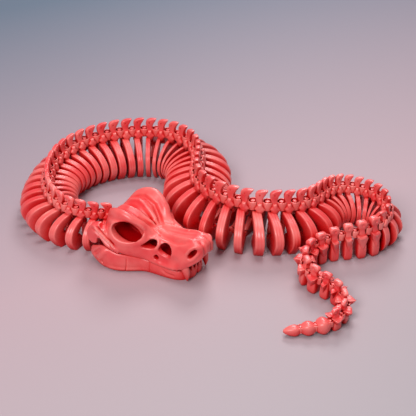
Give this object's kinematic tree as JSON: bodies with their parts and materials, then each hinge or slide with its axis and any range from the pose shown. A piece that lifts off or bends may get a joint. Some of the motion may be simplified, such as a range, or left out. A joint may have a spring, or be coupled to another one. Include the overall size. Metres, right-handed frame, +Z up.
{
  "type": "articulated snake skeleton toy",
  "caption": "Printed toy shaped like a snake's skeleton, lying in loops. Lengths of vertebrae with curled ribs turn on upright knob-and-socket links behind a stylised fanged skull.",
  "frame": {"origin": "on the floor, under the middle of the toy's box", "axes": "+Z up, +X along the longer side of the coiled toy, from the neck's loop to the tail's loop, and +Y away from the side the skull faces"},
  "size_m": [0.2996, 0.2578, 0.046],
  "materials": {
    "printed_plastic": "satin printed plastic with faint layer lines"
  },
  "bodies": {
    "head": {"skull": "printed_plastic", "lower_jaw": "printed_plastic"},
    "neck": {"neck_length": "printed_plastic"},
    "trunk_1": {"trunk_length_1": "printed_plastic"},
    "trunk_2": {"trunk_length_2": "printed_plastic"},
    "trunk_3": {"trunk_length_3": "printed_plastic"},
    "trunk_4": {"trunk_length_4": "printed_plastic"},
    "trunk_5": {"trunk_length_5": "printed_plastic"},
    "trunk_6": {"trunk_length_6": "printed_plastic"},
    "trunk_7": {"trunk_length_7": "printed_plastic"},
    "tail_1": {"tail_length_1": "printed_plastic"},
    "tail_2": {"tail_length_2": "printed_plastic"}
  },
  "joints": [
    {"name": "head_link", "type": "hinge", "parent": "neck", "child": "head", "pos_m": [-0.07072, -0.0147, 0.0245], "axis": [0, 0, 1], "range_deg": [-3, 10]},
    {"name": "neck_link", "type": "hinge", "parent": "trunk_1", "child": "neck", "pos_m": [-0.12395, 0.01387, 0.02844], "axis": [0, 0, 1], "range_deg": [-15, 0]},
    {"name": "trunk_link_1", "type": "hinge", "parent": "trunk_2", "child": "trunk_1", "pos_m": [-0.11146, 0.07786, 0.03138], "axis": [0, 0, 1], "range_deg": [-15, 0]},
    {"name": "trunk_link_2", "type": "hinge", "parent": "trunk_3", "child": "trunk_2", "pos_m": [-0.04407, 0.10164, 0.0322], "axis": [0, 0, 1], "range_deg": [-16, 0]},
    {"name": "trunk_link_3", "type": "hinge", "parent": "trunk_4", "child": "trunk_3", "pos_m": [-0.00818, 0.04985, 0.0322], "axis": [0, 0, 1], "range_deg": [-9, 0]},
    {"name": "trunk_link_4", "type": "hinge", "parent": "trunk_5", "child": "trunk_4", "pos_m": [0.02295, -0.0103, 0.0322], "axis": [0, 0, 1], "range_deg": [-3, 14]},
    {"name": "trunk_link_5", "type": "hinge", "parent": "trunk_5", "child": "trunk_6", "pos_m": [0.08573, 0.0028, 0.03036], "axis": [0, 0, 1], "range_deg": [-1, 13]},
    {"name": "trunk_link_6", "type": "hinge", "parent": "trunk_6", "child": "trunk_7", "pos_m": [0.13297, 0.00509, 0.02642], "axis": [0, 0, 1], "range_deg": [0, 22]},
    {"name": "tail_link_1", "type": "hinge", "parent": "trunk_7", "child": "tail_1", "pos_m": [0.09805, -0.03528, 0.01868], "axis": [0, 0, 1], "range_deg": [-5, 22]},
    {"name": "tail_link_2", "type": "hinge", "parent": "tail_1", "child": "tail_2", "pos_m": [0.08685, -0.08654, 0.01111], "axis": [0, 0, 1], "range_deg": [-15, 25]}
  ]
}
